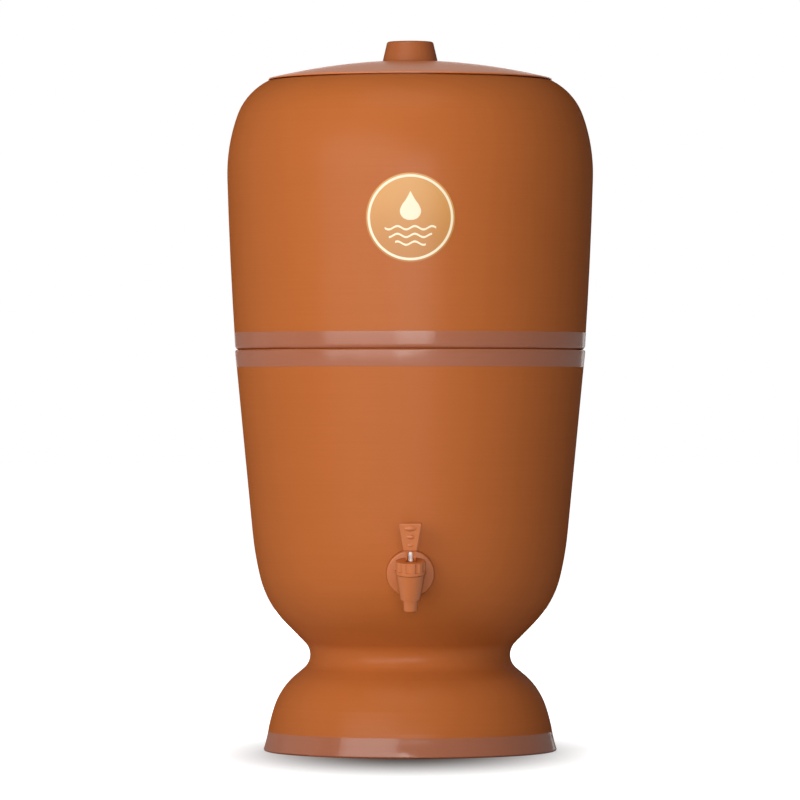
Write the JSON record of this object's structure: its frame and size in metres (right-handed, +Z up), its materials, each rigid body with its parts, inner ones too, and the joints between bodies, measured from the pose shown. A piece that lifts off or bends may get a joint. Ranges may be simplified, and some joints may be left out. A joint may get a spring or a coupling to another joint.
{
  "type": "clay water pot with tap",
  "caption": "Terracotta gravity water filter: lidded upper vessel with ceramic candles over a footed lower vessel with a lever tap.",
  "frame": {"origin": "centre of the foot's standing face, on the pot's axis", "axes": "+Z up along the pot's axis, -Y towards the tap and label, +X to the right seen from the tap side"},
  "size_m": [0.2702, 0.2823, 0.5234],
  "materials": {
    "clay": "matte unglazed terracotta with burnished bands",
    "label": "satin printed film",
    "tap_plastic": "satin moulded plastic",
    "white_plastic": "gloss moulded plastic",
    "rubber": "matte rubber",
    "silicone": "satin silicone",
    "steel": "stainless wire",
    "filter_ceramic": "matte porous ceramic",
    "carbon": "matte pressed carbon granules",
    "float_foam": "fine-beaded foam"
  },
  "bodies": {
    "pot_base": {"lower_vessel": "clay", "tap_body": "tap_plastic", "tap_outer_washer": "rubber", "tap_inner_washer": "rubber", "tap_nut": "tap_plastic", "tap_stem_seal": "silicone", "tap_bonnet": "tap_plastic"},
    "upper_pot": {"upper_vessel": "clay", "front_label": "label", "candle_1_shell": "filter_ceramic", "candle_1_carbon_core": "carbon", "candle_1_dish": "white_plastic", "candle_1_gasket": "rubber", "candle_1_washer": "rubber", "candle_1_nut": "white_plastic", "float_1_valve_body": "white_plastic", "float_1_pin": "steel", "candle_2_shell": "filter_ceramic", "candle_2_carbon_core": "carbon", "candle_2_dish": "white_plastic", "candle_2_gasket": "rubber", "candle_2_washer": "rubber", "candle_2_nut": "white_plastic", "float_2_valve_body": "white_plastic", "float_2_pin": "steel"},
    "lid_cover": {"lid": "clay"},
    "tap_valve": {"tap_stem": "white_plastic", "tap_seat_plug": "silicone"},
    "lever": {"tap_lever": "tap_plastic", "tap_lever_pin": "tap_plastic"},
    "float_1": {"float_1_arm": "white_plastic", "float_1_pad": "rubber", "float_1_ball": "float_foam"},
    "float_2": {"float_2_arm": "white_plastic", "float_2_pad": "rubber", "float_2_ball": "float_foam"}
  },
  "joints": [
    {"name": "upper_lift", "type": "slide", "parent": "pot_base", "child": "upper_pot", "axis": [0, 0, 1], "range_m": [0, 0.12]},
    {"name": "lid_lift", "type": "slide", "parent": "upper_pot", "child": "lid_cover", "axis": [0, 0, 1], "range_m": [0, 0.06]},
    {"name": "stem_lift", "type": "slide", "parent": "pot_base", "child": "tap_valve", "axis": [0, -0.2116, 0.9774], "range_m": [0, 0.003]},
    {"name": "lever_tilt", "type": "hinge", "parent": "tap_valve", "child": "lever", "pos_m": [0, -0.13731, 0.14651], "axis": [1, 0, 0], "range_deg": [0, 90]},
    {"name": "float_1_swing", "type": "hinge", "parent": "upper_pot", "child": "float_1", "pos_m": [0.0345, 0, 0.25427], "axis": [0, -1, 0], "range_deg": [0, 20]},
    {"name": "float_2_swing", "type": "hinge", "parent": "upper_pot", "child": "float_2", "pos_m": [-0.0345, 0, 0.25427], "axis": [0, 1, 0], "range_deg": [0, 20]}
  ],
  "couplings": [
    {"joint": "lever_tilt", "follows": "stem_lift", "rad_per_m": 523.6}
  ]
}
